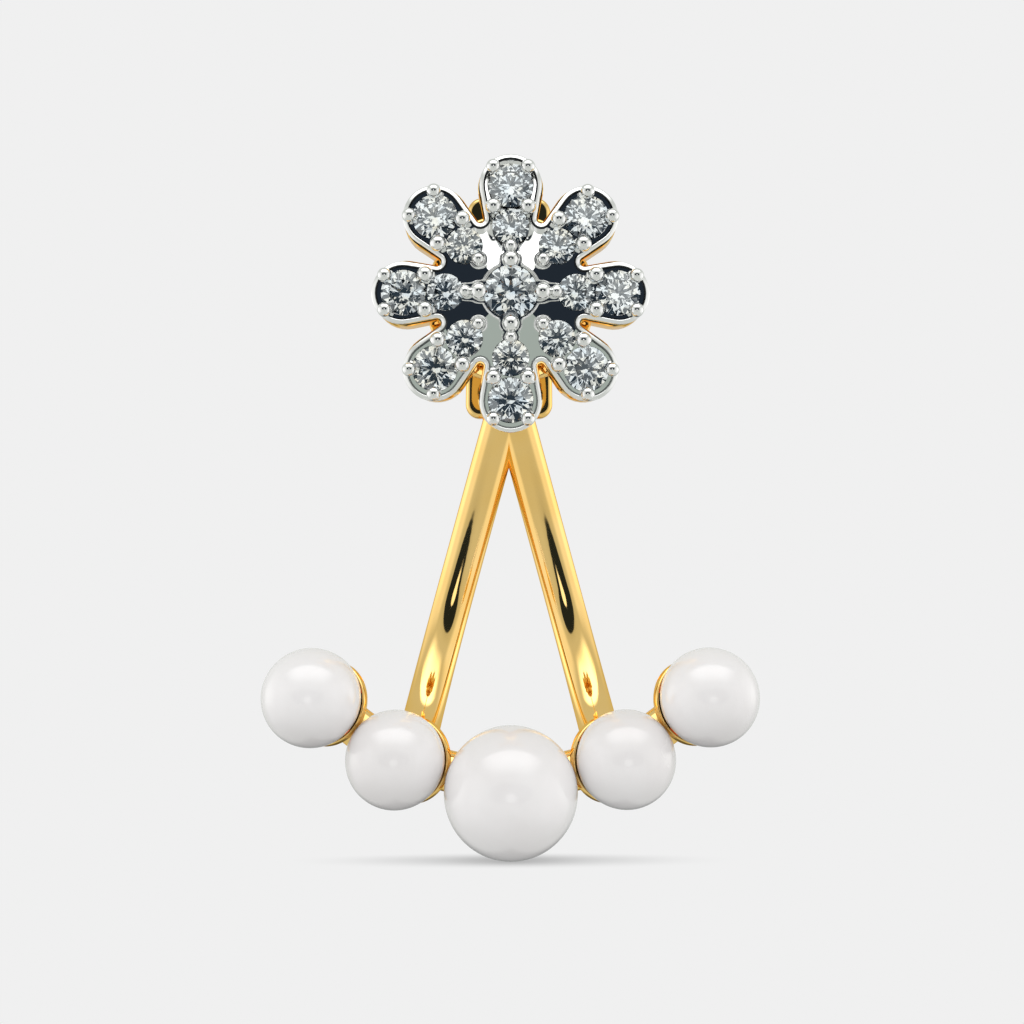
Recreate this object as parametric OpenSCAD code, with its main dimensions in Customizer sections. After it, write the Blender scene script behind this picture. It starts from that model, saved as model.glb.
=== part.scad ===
// Ear jacket earring: a diamond flower stud whose post passes through the earlobe
// and carries a gold jacket behind it, with five pearls on a smile below the lobe.
// Seen from the front, X is to the right, Y goes back through the lobe and Z is up.
// The origin is on the post's axis, in the middle of the earlobe gap.

/* [Stud] */
// Free gap for the earlobe between the stud and the jacket plate
lobe_gap = 4.5; // [4.2:0.1:5]
// Overall radius of the flower
flower_r = 5.62; // [5.4:0.02:5.8]
// Radius of a petal's round tip
petal_tip_r = 1.26; // [1.2:0.01:1.3]
// Half the width of a petal at its neck
petal_neck_w = 1.03; // [0.98:0.01:1.06]
// Distance of a petal's neck from the centre
petal_neck_at = 2.95; // [2.9:0.01:3.0]
// Radius of the disc that fills the flower between the petals
notch_r = 3.01; // [2.95:0.01:3.1]
// Width of the raised rim round the petals
rim_w = 0.14; // [0.1:0.01:0.18]
// Height of the raised rim over the mirror floor
rim_h = 0.12; // [0.08:0.01:0.16]
// Thickness of the flower plate under its floor
plate_t = 1.3; // [1.2:0.05:1.5]
// Outer radius of the gallery ring behind the flower
gallery_r = 3.52; // [3.4:0.02:3.6]

/* [Stones] */
// Diameter of the centre stone
centre_d = 2.15; // [2.1:0.01:2.2]
// Diameter of the stones at the petal tips
outer_d = 1.82; // [1.76:0.01:1.86]
// Distance of the outer stones from the centre
outer_at = 4.32; // [4.28:0.01:4.36]
// Diameter of the stones at the petal necks
inner_d = 1.48; // [1.44:0.01:1.5]
// Distance of the inner stones from the centre
inner_at = 2.63; // [2.6:0.01:2.66]

/* [Post] */
// Diameter of the ear post
post_d = 0.8; // [0.7:0.05:0.9]
// Distance of the post's end from the middle of the lobe
post_end = 7.6; // [7.4:0.1:8.4]
// Clearance round the post in the jacket and the ear nut
post_gap = 0.05; // [0.03:0.01:0.08]
// Length of the ear nut
nut_len = 2.6; // [2:0.1:3]

/* [Jacket] */
// Width of the jacket plate at its foot
jacket_w = 3.91; // [3.8:0.01:4]
// Width of the jacket plate at its head
jacket_top_w = 3.73; // [3.7:0.01:3.9]
// Height of the jacket plate
jacket_h = 9.93; // [9.8:0.01:10]
// Height of the jacket plate's middle over the post
jacket_up = 0.37; // [0.3:0.01:0.45]
// Thickness of the jacket plate
jacket_t = 1.0; // [0.9:0.05:1.1]
// Width of the two arms
arm_w = 1.73; // [1.65:0.01:1.8]
// Thickness of the two arms
arm_t = 1.2; // [1.1:0.05:1.3]
// Angle between each arm and the vertical
arm_splay = 15.15; // [15:0.05:15.3]
// Height of the arms' vertical point
arm_knee_z = -12.3; // [-12.4:0.05:-12.2]
// Radius of the arms' forward hook
hook_r = 7; // [6.9:0.05:7.1]
// Radius of the arms' upper sweep
sweep_r = 34; // [32:1:36]

/* [Pearls] */
// Diameter of the four small pearls
small_pearl_d = 4.0; // [3.96:0.01:4.04]
// Diameter of the centre pearl
big_pearl_d = 5.35; // [5.3:0.01:5.4]
// Tilt of the small pearls' pegs, outward along the smile
pearl_fan = 28; // [26:1:30]

/* [Hidden] */
$fn = 64;
petals = 8;
white_gold = [0.86, 0.87, 0.86];
yellow_gold = [0.94, 0.74, 0.36];
stone_white = [0.92, 0.94, 0.96];
pearl_white = [0.95, 0.94, 0.92];

// Depths in the flower, all measured along Y
lobe_front = -lobe_gap / 2;
gallery_t = 0.6;
gallery_wall = 0.6;
strut_t = 0.3;
strut_r = 0.3;
cross_bar_w = 1;
floor_y = lobe_front - gallery_t - strut_t - plate_t;
girdle_y = floor_y - 0.04;
petal_tip_at = flower_r - petal_tip_r;
strut_at = 3.2;

// How far a joined piece goes into its neighbour, and how far a cut runs past a face
lap = 0.1;
past = 1;

// Stone proportions, as shares of the stone's radius
table_share = 0.56;
crown_share = 0.31;
girdle_share = 0.05;
pavilion_share = 0.86;
star_share = 0.77;
lower_share = 0.23;
seat_gap = 0.05;
azure_share = 0.3;

// Prong beads: [distance from the flower's centre, sideways offset, radius]
tip_bead = [5.04, 0.69, 0.285];
neck_bead = [3.41, 0.69, 0.30];
root_bead = [1.83, 0, 0.29];
centre_bead = [1.27, 0, 0.36];
bead_lift = 0.2;
peg_share = 0.8;
boss_r = 1.23;
groove_y = 6.1;
groove_w = 0.2;
groove_r = 0.33;
nut_r = 1.35;
flange_r = 1.85;
flange_t = 0.7;
nut_play = 0.2;

// Depths in the jacket
jacket_y = lobe_gap / 2;
jacket_corner = 0.63;
jacket_foot_z = jacket_up - jacket_h / 2;
arm_knee_x = -2.40;
arm_knee_y = 3.35;
arm_yaw = 2;
arm_crown_r = 0.95;
hook_sweep = 80;
knee_lap = 0.5;
knee_step = 0.02;
arm_top_z = jacket_foot_z + 0.4;
bar_r = 10.6;
bar_z = -9.44;
bar_y = -2.0;
bar_w = 1.7;
bar_t = 1.0;
bar_crown_r = 0.95;
bar_half_angle = 46;

// Pearls and cups
pearl_y = -4.55;
inner_x = 4.64;
inner_z = -18.76;
inner_dip = 20;
outer_x = 8.0;
outer_z = -16.27;
outer_dip = 35;
centre_y = -5.05;
centre_z = -20.0;
cup_gap = 0.06;
cup_wall = 0.25;
cup_share = 0.885;
big_cup_share = 0.86;
peg_r = 0.4;
peg_gap = 0.05;
peg_past = 0.3;

// Turns a shape that is drawn on XY, looking along +Z, so that it looks forward along -Y
module facing_front(y) {
    translate([0, y, 0]) rotate([90, 0, 0]) children();
}

// One petal's outline, narrowed all round by inset
module petal_outline(inset) {
    lean = (petal_tip_r - petal_neck_w) / (petal_tip_at - petal_neck_at);
    side_x = petal_tip_r * lean;
    side_w = petal_tip_r - inset;
    translate([petal_tip_at, 0]) circle(r = side_w);
    polygon([
        [0, -petal_neck_w + inset + petal_neck_at * lean],
        [petal_tip_at - side_x, -side_w * sqrt(1 - lean * lean)],
        [petal_tip_at - side_x, side_w * sqrt(1 - lean * lean)],
        [0, petal_neck_w - inset - petal_neck_at * lean]
    ]);
}

module flower_outline(inset) {
    circle(r = notch_r - inset);
    for (k = [0 : petals - 1]) rotate(k * 360 / petals) petal_outline(inset);
}

// The space round one stone, at its place on the flower, with the open hole behind its point
module stone_space(d) {
    r = d / 2 + seat_gap;
    crown_h = crown_share * r;
    girdle_t = girdle_share * r;
    azure_r = azure_share * r;
    azure_h = girdle_t + pavilion_share * (r - azure_r);
    facing_front(girdle_y) rotate_extrude() polygon([
        [0, crown_h],
        [r * table_share + seat_gap, crown_h],
        [r, 0],
        [r, -girdle_t],
        [azure_r, -azure_h],
        [azure_r, -plate_t - lap],
        [0, -plate_t - lap]
    ]);
}

module all_stone_spaces() {
    stone_space(centre_d);
    for (k = [0 : petals - 1]) {
        rotate([0, k * 360 / petals, 0]) {
            translate([outer_at, 0, 0]) stone_space(outer_d);
            translate([inner_at, 0, 0]) stone_space(inner_d);
        }
    }
}

// A round-headed prong: a ball on a short peg that stands on the floor
module prong(bead, side) {
    r = bead[2];
    translate([bead[0], 0, side * bead[1]]) {
        translate([0, floor_y - bead_lift, 0]) sphere(r = r);
        facing_front(floor_y + lap) cylinder(r = r * peg_share, h = bead_lift + lap);
    }
}

module prongs() {
    for (k = [0 : petals - 1]) {
        rotate([0, k * 360 / petals, 0]) {
            prong(tip_bead, -1);
            prong(tip_bead, 1);
            prong(neck_bead, -1);
            prong(neck_bead, 1);
            prong(root_bead, 0);
            if (k % 2 == 0) prong(centre_bead, 0);
        }
    }
}

// The post, from Y = foot to its round end, with the groove that stops a nut near the end
module ear_post(foot) {
    r = post_d / 2;
    end_y = groove_y + groove_w;
    translate([0, foot, 0]) rotate([-90, 0, 0]) cylinder(r = r, h = groove_y - foot);
    translate([0, groove_y - lap, 0]) rotate([-90, 0, 0]) cylinder(r = groove_r, h = groove_w + 2 * lap);
    translate([0, end_y, 0]) rotate([-90, 0, 0]) cylinder(r = r, h = post_end - r - end_y);
    translate([0, post_end - r, 0]) sphere(r = r);
}

// The openwork behind the flower: struts, the gallery ring and the bar that carries the post
module gallery() {
    gallery_front = lobe_front - gallery_t;
    facing_front(lobe_front) difference() {
        cylinder(r = gallery_r, h = gallery_t);
        translate([0, 0, -past]) cylinder(r = gallery_r - gallery_wall, h = gallery_t + 2 * past);
    }
    for (k = [0 : petals - 1])
        rotate([0, k * 360 / petals, 0])
            translate([strut_at, gallery_front + lap, 0])
                rotate([90, 0, 0]) cylinder(r = strut_r, h = strut_t + 2 * lap);
    translate([-strut_at, gallery_front, -cross_bar_w / 2]) cube([2 * strut_at, gallery_t, cross_bar_w]);
    ear_post(gallery_front + lap);
}

module flower_setting() {
    color(white_gold) difference() {
        union() {
            facing_front(floor_y + plate_t) linear_extrude(plate_t) flower_outline(0);
            facing_front(floor_y) linear_extrude(rim_h) difference() {
                flower_outline(0);
                flower_outline(rim_w);
            }
            facing_front(floor_y) cylinder(r = boss_r, h = rim_h);
            prongs();
        }
        all_stone_spaces();
    }
    color(yellow_gold) gallery();
}

// A round brilliant, its table towards +Z and its girdle's top edge at Z = 0
module brilliant(d) {
    r = d / 2;
    crown_h = crown_share * r;
    girdle_h = girdle_share * r;
    pavilion_h = pavilion_share * r;
    star_h = crown_h * (1 - star_share * cos(22.5)) / (1 - table_share);
    lower_z = -girdle_h - pavilion_h * (1 - lower_share * cos(22.5));
    table_ring = [for (k = [0 : 7]) [table_share * r * cos(45 * k), table_share * r * sin(45 * k), crown_h]];
    star_ring = [for (k = [0 : 7]) let (a = 45 * k + 22.5)
        [star_share * r * cos(a), star_share * r * sin(a), star_h]];
    girdle_top = [for (k = [0 : 15]) [r * cos(22.5 * k), r * sin(22.5 * k), 0]];
    girdle_foot = [for (k = [0 : 15]) [r * cos(22.5 * k), r * sin(22.5 * k), -girdle_h]];
    lower_ring = [for (k = [0 : 7]) let (a = 45 * k + 22.5)
        [lower_share * r * cos(a), lower_share * r * sin(a), lower_z]];
    culet = [[0, 0, -girdle_h - pavilion_h]];
    star = 8;
    top = 16;
    foot = 32;
    lower = 48;
    tip = 56;
    polyhedron(
        points = concat(table_ring, star_ring, girdle_top, girdle_foot, lower_ring, culet),
        faces = concat(
            [[for (k = [0 : 7]) 7 - k]],
            [for (k = [0 : 7]) [k, (k + 1) % 8, star + k]],
            [for (k = [0 : 7]) [k, star + k, top + 2 * k]],
            [for (k = [0 : 7]) [k, top + 2 * k, star + (k + 7) % 8]],
            [for (k = [0 : 7]) [star + k, top + 2 * k + 1, top + 2 * k]],
            [for (k = [0 : 7]) [star + k, top + (2 * k + 2) % 16, top + 2 * k + 1]],
            [for (k = [0 : 15]) [top + k, top + (k + 1) % 16, foot + (k + 1) % 16, foot + k]],
            [for (k = [0 : 7]) [foot + 2 * k, foot + 2 * k + 1, lower + k]],
            [for (k = [0 : 7]) [foot + 2 * k + 1, foot + (2 * k + 2) % 16, lower + k]],
            [for (k = [0 : 7]) [foot + 2 * k, lower + k, tip]],
            [for (k = [0 : 7]) [foot + 2 * k, tip, lower + (k + 7) % 8]]
        )
    );
}

module set_stone(d) {
    color(stone_white) facing_front(girdle_y) brilliant(d);
}

// Stones 1 to 8 go round from the top petal, clockwise as seen from the front
module on_petal(k, at) {
    rotate([0, (k - 1) * 360 / petals - 90, 0]) translate([at, 0, 0]) children();
}

module ear_nut() {
    nut_y = jacket_y + jacket_t + nut_play;
    color(yellow_gold) difference() {
        translate([0, nut_y, 0]) rotate([-90, 0, 0]) {
            cylinder(r = flange_r, h = flange_t);
            cylinder(r = nut_r, h = nut_len);
        }
        translate([0, nut_y - past, 0])
            rotate([-90, 0, 0]) cylinder(r = post_d / 2 + post_gap, h = nut_len + 2 * past);
    }
}

module jacket_plate() {
    half_foot = jacket_w / 2;
    half_head = jacket_top_w / 2;
    c = jacket_corner;
    facing_front(jacket_y + jacket_t) difference() {
        linear_extrude(jacket_t) translate([0, jacket_up]) union() {
            for (side = [-1, 1]) {
                translate([side * (half_foot - c), -jacket_h / 2 + c]) circle(r = c);
                translate([side * (half_head - c), jacket_h / 2 - c]) circle(r = c);
            }
            polygon([
                [-half_foot + c, -jacket_h / 2], [half_foot - c, -jacket_h / 2],
                [half_foot, -jacket_h / 2 + c], [half_head, jacket_h / 2 - c],
                [half_head - c, jacket_h / 2], [-half_head + c, jacket_h / 2],
                [-half_head, jacket_h / 2 - c], [-half_foot, -jacket_h / 2 + c]
            ]);
        }
        translate([0, 0, -past]) cylinder(r = post_d / 2 + post_gap, h = jacket_t + 2 * past);
    }
}

// The section of an arm or the bar: a flat back and a crowned front, which faces -X,
// with the front's crown at X = front and the back at X = front + t
module band_section(front, w, t, crown_r) {
    intersection() {
        translate([front + crown_r, 0]) circle(r = crown_r);
        translate([front, -w / 2]) square([t, w]);
    }
}

// The left arm: an upper sweep that bows back from the plate, then a hook that comes forward.
// The sweep is a hair slimmer than the hook, so that its foot goes into the hook's end.
module left_arm() {
    sweep_angle = asin((arm_top_z - arm_knee_z) / cos(arm_splay) / sweep_r);
    sweep_w = arm_w - 2 * knee_step;
    sweep_t = arm_t - 2 * knee_step;
    middle = arm_t / 2;
    translate([arm_knee_x, arm_knee_y + middle, arm_knee_z])
        rotate([0, arm_splay, 0]) rotate([0, 0, arm_yaw]) translate([0, -middle, 0]) {
            translate([0, -sweep_r, 0]) rotate([90, 0, 90]) rotate([0, 0, -knee_lap])
                rotate_extrude(angle = sweep_angle + knee_lap)
                    band_section(sweep_r + knee_step, sweep_w, sweep_t, arm_crown_r);
            translate([0, -hook_r, 0]) rotate([90, 0, 90]) rotate([0, 0, -hook_sweep])
                rotate_extrude(angle = hook_sweep) band_section(hook_r, arm_w, arm_t, arm_crown_r);
        }
}

// The smile: an arc of a crowned band behind the pearls
module smile_bar() {
    translate([0, bar_y + bar_t / 2, bar_z]) rotate([90, 0, 0]) rotate([0, 0, -90 - bar_half_angle])
        rotate_extrude(angle = 2 * bar_half_angle)
            translate([bar_r, bar_t]) rotate(-90) band_section(0, bar_w, bar_t, bar_crown_r);
}

// Puts a pearl's own axis, with +Z pointing back from its centre, at its place
module at_small_pearl(x, z, dip) {
    side = sign(x);
    back = [-side * sin(pearl_fan) * cos(dip), cos(pearl_fan), -sin(pearl_fan) * sin(dip)];
    translate([x, pearl_y, z])
        rotate([0, 0, atan2(back[1], back[0])]) rotate([0, acos(back[2]), 0]) children();
}

module at_big_pearl() {
    translate([0, centre_y, centre_z]) rotate([-90, 0, 0]) children();
}

// A cup that holds the back of a pearl, with the peg that goes into it
module cup(d, share) {
    r = d / 2;
    outer = r + cup_gap + cup_wall;
    difference() {
        intersection() {
            sphere(r = outer);
            cylinder(r = r * share, h = outer + past);
        }
        sphere(r = r + cup_gap);
    }
    translate([0, 0, -peg_past]) cylinder(r = peg_r, h = outer + peg_past + lap);
}

module jacket_frame() {
    color(yellow_gold) {
        jacket_plate();
        left_arm();
        mirror([1, 0, 0]) left_arm();
        smile_bar();
        for (side = [-1, 1]) {
            at_small_pearl(side * inner_x, inner_z, inner_dip) cup(small_pearl_d, cup_share);
            at_small_pearl(side * outer_x, outer_z, outer_dip) cup(small_pearl_d, cup_share);
        }
        at_big_pearl() cup(big_pearl_d, big_cup_share);
    }
}

module pearl(d) {
    hole_foot = peg_past + 2 * lap;
    color(pearl_white) difference() {
        sphere(r = d / 2);
        translate([0, 0, -hole_foot]) cylinder(r = peg_r + peg_gap, h = d);
    }
}

module inner_pearl(side) {
    at_small_pearl(side * inner_x, inner_z, inner_dip) pearl(small_pearl_d);
}

module outer_pearl(side) {
    at_small_pearl(side * outer_x, outer_z, outer_dip) pearl(small_pearl_d);
}

flower_setting();
set_stone(centre_d);  // centre_stone
on_petal(1, outer_at) set_stone(outer_d);  // outer_stone_1
on_petal(2, outer_at) set_stone(outer_d);  // outer_stone_2
on_petal(3, outer_at) set_stone(outer_d);  // outer_stone_3
on_petal(4, outer_at) set_stone(outer_d);  // outer_stone_4
on_petal(5, outer_at) set_stone(outer_d);  // outer_stone_5
on_petal(6, outer_at) set_stone(outer_d);  // outer_stone_6
on_petal(7, outer_at) set_stone(outer_d);  // outer_stone_7
on_petal(8, outer_at) set_stone(outer_d);  // outer_stone_8
on_petal(1, inner_at) set_stone(inner_d);  // inner_stone_1
on_petal(2, inner_at) set_stone(inner_d);  // inner_stone_2
on_petal(3, inner_at) set_stone(inner_d);  // inner_stone_3
on_petal(4, inner_at) set_stone(inner_d);  // inner_stone_4
on_petal(5, inner_at) set_stone(inner_d);  // inner_stone_5
on_petal(6, inner_at) set_stone(inner_d);  // inner_stone_6
on_petal(7, inner_at) set_stone(inner_d);  // inner_stone_7
on_petal(8, inner_at) set_stone(inner_d);  // inner_stone_8
ear_nut();
jacket_frame();
at_big_pearl() pearl(big_pearl_d);  // pearl_centre
inner_pearl(-1);  // pearl_inner_left
inner_pearl(1);  // pearl_inner_right
outer_pearl(-1);  // pearl_outer_left
outer_pearl(1);  // pearl_outer_right
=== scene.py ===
from math import (
    acos, asin, atan2, copysign, cos, degrees, hypot, pi, radians, sin, sqrt, tan, tau
)

import bmesh
import bpy
from mathutils import Matrix, Vector


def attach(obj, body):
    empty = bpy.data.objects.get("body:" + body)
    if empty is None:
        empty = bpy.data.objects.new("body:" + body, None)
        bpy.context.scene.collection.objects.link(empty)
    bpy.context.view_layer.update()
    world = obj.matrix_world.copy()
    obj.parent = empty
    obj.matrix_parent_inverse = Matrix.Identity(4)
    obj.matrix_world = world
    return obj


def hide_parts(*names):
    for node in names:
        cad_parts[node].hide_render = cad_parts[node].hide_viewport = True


bl_info = {
    "name": "Ear Jacket Earring",
    "version": (1, 0, 0),
    "blender": (4, 5, 0),
    "location": "View3D > Sidebar > Earring",
    "description": "Builds a flower stud set with brilliants and its gold jacket with five pearls",
    "category": "Add Mesh",
}

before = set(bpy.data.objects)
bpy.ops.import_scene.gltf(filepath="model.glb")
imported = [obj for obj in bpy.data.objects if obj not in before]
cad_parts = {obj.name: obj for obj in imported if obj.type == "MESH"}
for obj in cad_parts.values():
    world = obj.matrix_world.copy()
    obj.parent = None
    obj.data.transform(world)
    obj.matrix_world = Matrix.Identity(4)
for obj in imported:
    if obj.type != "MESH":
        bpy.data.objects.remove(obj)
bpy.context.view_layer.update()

# Everything is modelled in millimetres and is brought to metres when a piece is finished
MM = 0.001
PETALS = 8
PETAL_TURN = tau / PETALS
# Points closer than this are merged
MERGE = 0.0004
STUD = "stud"
JACKET = "jacket"
FLOWER_NODE = "flower_setting"
JACKET_NODE = "jacket_frame"
WHITE = "white_gold"
YELLOW = "yellow_gold"


def number(name, description, default, **kind):
    return bpy.props.FloatProperty(name=name, description=description, default=default, **kind)


def length(name, description, default):
    """A length, whose default is given in millimetres."""
    return number(name, description, default * MM, unit="LENGTH", precision=5)


def share(name, description, default):
    return number(name, description, default, subtype="FACTOR")


def angle(name, description, default):
    """An angle, whose default is given in degrees."""
    return number(name, description, radians(default), subtype="ANGLE")


def colour(name, description, default):
    return bpy.props.FloatVectorProperty(
        name=name, description=description, default=default, size=3, min=0, max=1, subtype="COLOR"
    )


class FlowerSizes(bpy.types.PropertyGroup):
    tip_at: length("Tip centre", "Distance of a petal's round tip from the middle of the flower", 4.36)
    tip_r: length("Tip radius", "Radius of a petal's round tip", 1.26)
    notch_at: length("Notch centre", "Distance of the hollow between two petals from the middle", 3.2)
    notch_r: length("Notch radius", "Radius of the hollow between two petals", 0.19)
    rim_w: length("Rim width", "Width of the polished rim round the petals", 0.17)
    rim_h: length("Rim height", "Height of the rim over the mirror floor", 0.12)
    floor_y: length("Floor depth", "Place of the mirror floor along Y", -4.45)
    white_t: length("White layer", "Thickness of the white layer over the yellow gold", 0.2)
    back_y: length("Back depth", "Place of the flower plate's back along Y", -3.15)
    dome_r: length("Dome radius", "Radius of the flower's slight dome", 38)
    dome_rise: length("Dome rise", "How far the middle of the dome stands out", 0.2)
    wall_out: length("Gold line", "How far the yellow gold wall stands out beside the white rim", 0.06)
    boss_r: length("Boss radius", "Radius of the raised disc round the centre stone", 1.23)
    foot_r: length("Centre bead ridge", "Radius of the ridge round a bead of the centre stone", 0.47)
    root_r: length("Root bead ridge", "Radius of the ridge round a bead at a petal's root", 0.37)


class StoneSizes(bpy.types.PropertyGroup):
    centre_d: length("Centre stone", "Diameter of the centre stone", 2.15)
    outer_d: length("Outer stones", "Diameter of the stones at the petal tips", 1.82)
    outer_at: length("Outer ring", "Distance of the outer stones from the middle", 4.32)
    inner_d: length("Inner stones", "Diameter of the stones at the petal necks", 1.48)
    inner_at: length("Inner ring", "Distance of the inner stones from the middle", 2.63)
    table: share("Table", "Width of the table as a share of the stone", 0.57)
    girdle: share("Girdle", "Thickness of the girdle as a share of the radius", 0.04)
    crown: angle("Crown angle", "Slope of the crown's main facets", 34.5)
    star: angle("Star angle", "Slope of the star facets", 21.8)
    upper: angle("Upper girdle angle", "Slope of the facets above the girdle", 41.36)
    pavilion: angle("Pavilion angle", "Slope of the pavilion's main facets", 40.75)
    lower: angle("Lower girdle angle", "Slope of the facets below the girdle", 41.94)
    seat_gap: length("Seat gap", "Clearance between a stone and its seat", 0.03)


class PostSizes(bpy.types.PropertyGroup):
    post_r: length("Post radius", "Radius of the ear post", 0.4)
    post_end: length("Post end", "Place of the post's round end along Y", 7.597)
    groove_y: length("Groove", "Place of the groove that stops the nut", 6.1)
    gallery_r: length("Gallery radius", "Outer radius of the ring behind the flower", 3.52)
    gallery_w: length("Gallery wall", "Width of the ring behind the flower", 0.6)
    gallery_back: length("Gallery back", "Place of the gallery's back along Y", -2.25)
    gallery_t: length("Gallery thickness", "Thickness of the gallery along Y", 0.6)
    nut_y: length("Nut", "Place of the ear nut's flange along Y", 3.45)
    nut_len: length("Nut length", "Length of the ear nut", 2.6)
    nut_r: length("Nut radius", "Radius of the ear nut's barrel", 1.35)
    flange_r: length("Flange radius", "Radius of the ear nut's flange", 1.85)


class JacketSizes(bpy.types.PropertyGroup):
    plate_foot_w: length("Plate foot", "Width of the jacket plate at its foot", 3.91)
    plate_head_w: length("Plate head", "Width of the jacket plate at its head", 3.73)
    plate_foot_z: length("Plate foot height", "Place of the plate's lower edge along Z", -4.595)
    plate_head_z: length("Plate head height", "Place of the plate's upper edge along Z", 5.335)
    plate_y: length("Plate front", "Place of the plate's front along Y", 2.25)
    plate_t: length("Plate thickness", "Thickness of the jacket plate", 1)
    corner: length("Plate corner", "Radius of the plate's corners", 0.63)
    edge: length("Plate edge", "Radius of the plate's rounded front edge", 0.2)
    hole_r: length("Post hole", "Radius of the hole for the ear post", 0.45)
    arm_w: length("Arm width", "Width of the two arms", 1.73)
    arm_t: length("Arm thickness", "Thickness of the two arms", 1.2)
    crown_r: length("Crown radius", "Radius of the rounded front of the arms and the smile", 0.95)
    knee_x: length("Knee offset", "Distance of the arms' vertical point from the middle", 2.4)
    knee_y: length("Knee depth", "Place of the arms' vertical point along Y", 3.35)
    knee_z: length("Knee height", "Place of the arms' vertical point along Z", -12.3)
    hook_r: length("Hook radius", "Radius of the arms' forward hook", 7)
    sweep_r: length("Sweep radius", "Radius of the arms' upper sweep", 34)
    splay: angle("Splay", "Angle between an arm and the vertical", 15.15)
    yaw: angle("Yaw", "Turn of an arm about its own length", 2)
    hook_turn: angle("Hook turn", "Angle that the forward hook turns through", 80)
    bar_r: length("Smile radius", "Radius of the smile along its middle", 10.6)
    bar_z: length("Smile centre", "Height of the smile's centre of curvature", -9.44)
    bar_y: length("Smile front", "Place of the smile's front along Y", -2.5)
    bar_w: length("Smile width", "Width of the smile", 1.7)
    bar_t: length("Smile thickness", "Thickness of the smile", 1)
    bar_turn: angle("Smile half angle", "Angle from the middle of the smile to its end", 46)


class PearlSizes(bpy.types.PropertyGroup):
    small_d: length("Small pearls", "Diameter of the four small pearls", 3.989)
    big_d: length("Centre pearl", "Diameter of the centre pearl", 5.337)
    small_y: length("Small pearls' depth", "Place of the small pearls along Y", -4.55)
    big_y: length("Centre pearl's depth", "Place of the centre pearl along Y", -5.05)
    inner_x: length("Inner offset", "Distance of the inner pearls from the middle", 4.64)
    inner_z: length("Inner height", "Height of the inner pearls", -18.76)
    outer_x: length("Outer offset", "Distance of the outer pearls from the middle", 8)
    outer_z: length("Outer height", "Height of the outer pearls", -16.27)
    big_z: length("Centre height", "Height of the centre pearl", -20)
    fan: angle("Fan", "Turn of the small pearls' pegs, outward along the smile", 28)
    inner_dip: angle("Inner dip", "Dip of the inner pearls' pegs", 20)
    outer_dip: angle("Outer dip", "Dip of the outer pearls' pegs", 35)
    cup_gap: length("Cup gap", "Gap between a pearl and its cup", 0.06)
    cup_wall: length("Cup wall", "Thickness of a cup's wall", 0.25)
    small_cup: share("Small cup", "Radius of a small cup as a share of its pearl's", 0.885)
    big_cup: share("Centre cup", "Radius of the centre cup as a share of its pearl's", 0.86)
    peg_r: length("Peg radius", "Radius of the peg that goes into a pearl", 0.4)
    hole_r: length("Hole radius", "Radius of the hole drilled in a pearl", 0.45)


class Finishes(bpy.types.PropertyGroup):
    rhodium: colour("White gold", "Colour of the rhodium plated face", (0.88, 0.885, 0.875))
    gold: colour("Yellow gold", "Colour of the yellow gold", (0.97, 0.67, 0.26))
    deep_gold: colour("Deep gold", "Colour of the yellow gold where it is a little redder", (0.95, 0.62, 0.2))
    nacre: colour("Nacre", "Colour of the pearls", (0.95, 0.935, 0.935))
    # The rose colour also darkens a pearl's edge, where it is painted shade
    rose_and_edge_shade: colour("Rose overtone", "Faint warm overtone of the pearls", (0.84, 0.81, 0.8))
    stone: colour("Brilliant", "Colour of the stones", (1.0, 1.0, 1.0))
    backdrop: colour("Backdrop", "Colour of the floor and the backdrop", (0.871, 0.871, 0.871))


class StageSizes(bpy.types.PropertyGroup):
    floor_z: length("Floor height", "Height of the floor under the hanging earring", -22.7)
    floor_half: length("Floor half width", "Half the width of the floor", 600)
    eye_x: length("Camera X", "Place of the camera along X", -0.6)
    eye_y: length("Camera Y", "Place of the camera along Y", -61.65)
    eye_z: length("Camera Z", "Place of the camera along Z", -8.82)
    turn: angle("Camera turn", "Turn of the camera to the right", 0.654)


class Millimetres:
    """Reads a property group's lengths in millimetres."""

    def __init__(self, group):
        self.group = group

    def __getattr__(self, name):
        return getattr(self.group, name) / MM


def group_of(name):
    return getattr(bpy.context.scene, f"earring_{name}")


def sizes_of(name):
    return Millimetres(group_of(name))


def select_all():
    bpy.ops.mesh.select_all(action="SELECT")


def set_mode(mode):
    bpy.ops.object.mode_set(mode=mode)


def clear_selection():
    if bpy.context.object and bpy.context.object.mode != "OBJECT":
        set_mode("OBJECT")
    bpy.ops.object.select_all(action="DESELECT")


def select_only(*pieces):
    clear_selection()
    for piece in pieces:
        piece.select_set(True)
    bpy.context.view_layer.objects.active = pieces[0]


def merge_and_turn_out(piece):
    """Merges points that lie on each other and turns all faces outward."""
    select_only(piece)
    set_mode("EDIT")
    select_all()
    bpy.ops.mesh.remove_doubles(threshold=MERGE)
    bpy.ops.mesh.normals_make_consistent(inside=False)
    set_mode("OBJECT")
    return piece


def cap(piece, first, count):
    """Closes the ring of points from number first on with one face."""
    bpy.ops.mesh.select_all(action="DESELECT")
    mesh = bmesh.from_edit_mesh(piece.data)
    mesh.verts.ensure_lookup_table()
    for index in range(first, first + count):
        mesh.verts[index].select = True
    mesh.select_flush_mode()
    bpy.ops.mesh.edge_face_add()


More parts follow.
